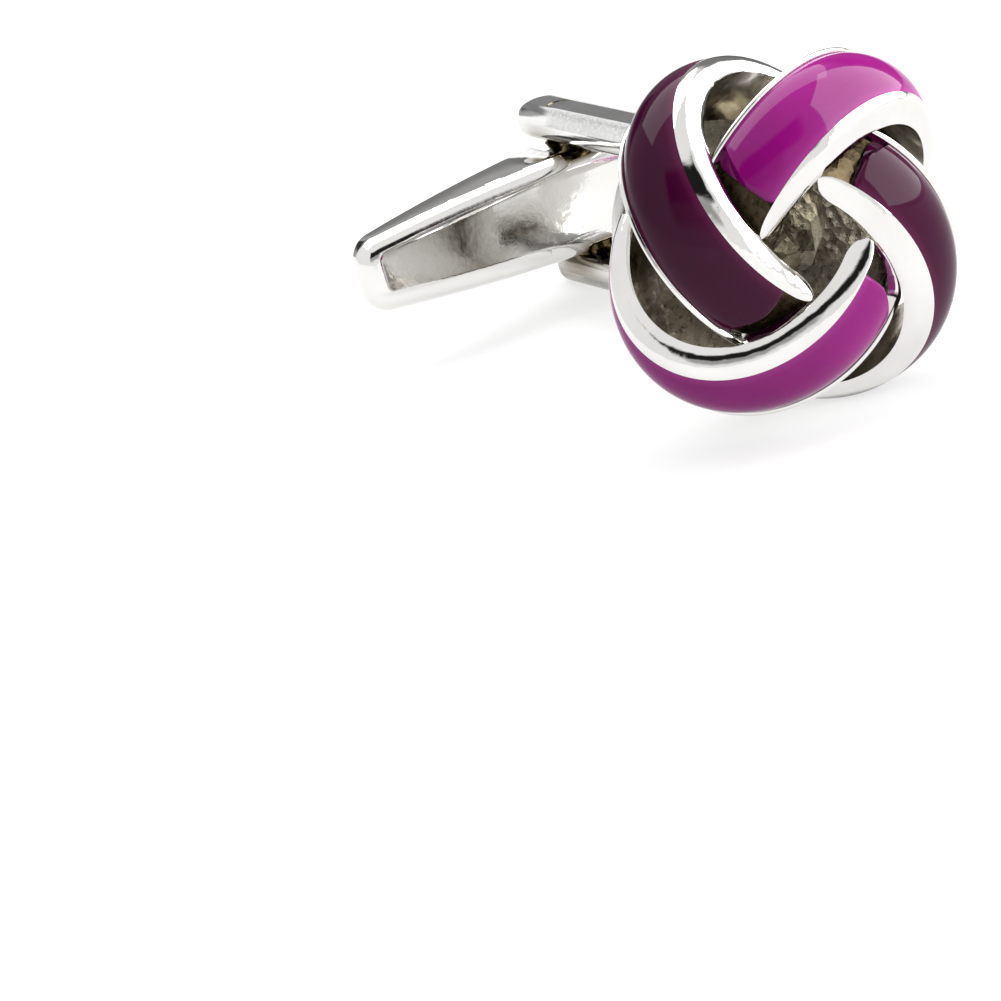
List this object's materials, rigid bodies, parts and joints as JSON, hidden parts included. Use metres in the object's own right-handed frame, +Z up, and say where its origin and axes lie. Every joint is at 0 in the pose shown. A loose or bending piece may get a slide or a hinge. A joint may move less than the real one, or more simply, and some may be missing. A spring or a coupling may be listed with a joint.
{
  "type": "cufflink",
  "caption": "Cufflink with an enamelled woven-knot head, a forked post and a swivelling toggle bar that turns in line with the post to pass the buttonholes and across it to lock.",
  "frame": {"origin": "on the table below the middle of the link's bounding box, as it lies at rest", "axes": "+Z up from the table; the knot faces -Y and a little up, the toggle is at +Y and lies along X; the post axis rises 7.9 degrees towards the knot"},
  "size_m": [0.021, 0.0264, 0.0142],
  "materials": {
    "plated_metal": "mirror-polished silver-coloured plating",
    "cast_core": "as cast, dull grey-brown under the plating",
    "magenta_enamel": "glossy translucent magenta-purple enamel",
    "dark_enamel": "glossy dark aubergine enamel"
  },
  "bodies": {
    "link": {"strand_left": "plated_metal", "strand_top": "plated_metal", "strand_right": "plated_metal", "strand_bottom": "plated_metal", "enamel_left": "dark_enamel", "enamel_top": "magenta_enamel", "enamel_right": "dark_enamel", "enamel_bottom": "magenta_enamel", "knot_core": "cast_core", "back_plate": "plated_metal", "post_fork": "plated_metal", "pivot_pin": "plated_metal"},
    "toggle_bar": {"toggle": "plated_metal"}
  },
  "joints": [
    {"name": "toggle_swivel", "type": "hinge", "parent": "link", "child": "toggle_bar", "pos_m": [0, 0.00983, 0.00409], "axis": [0, 0.1378, 0.9905], "range_deg": [-90, 90]}
  ]
}
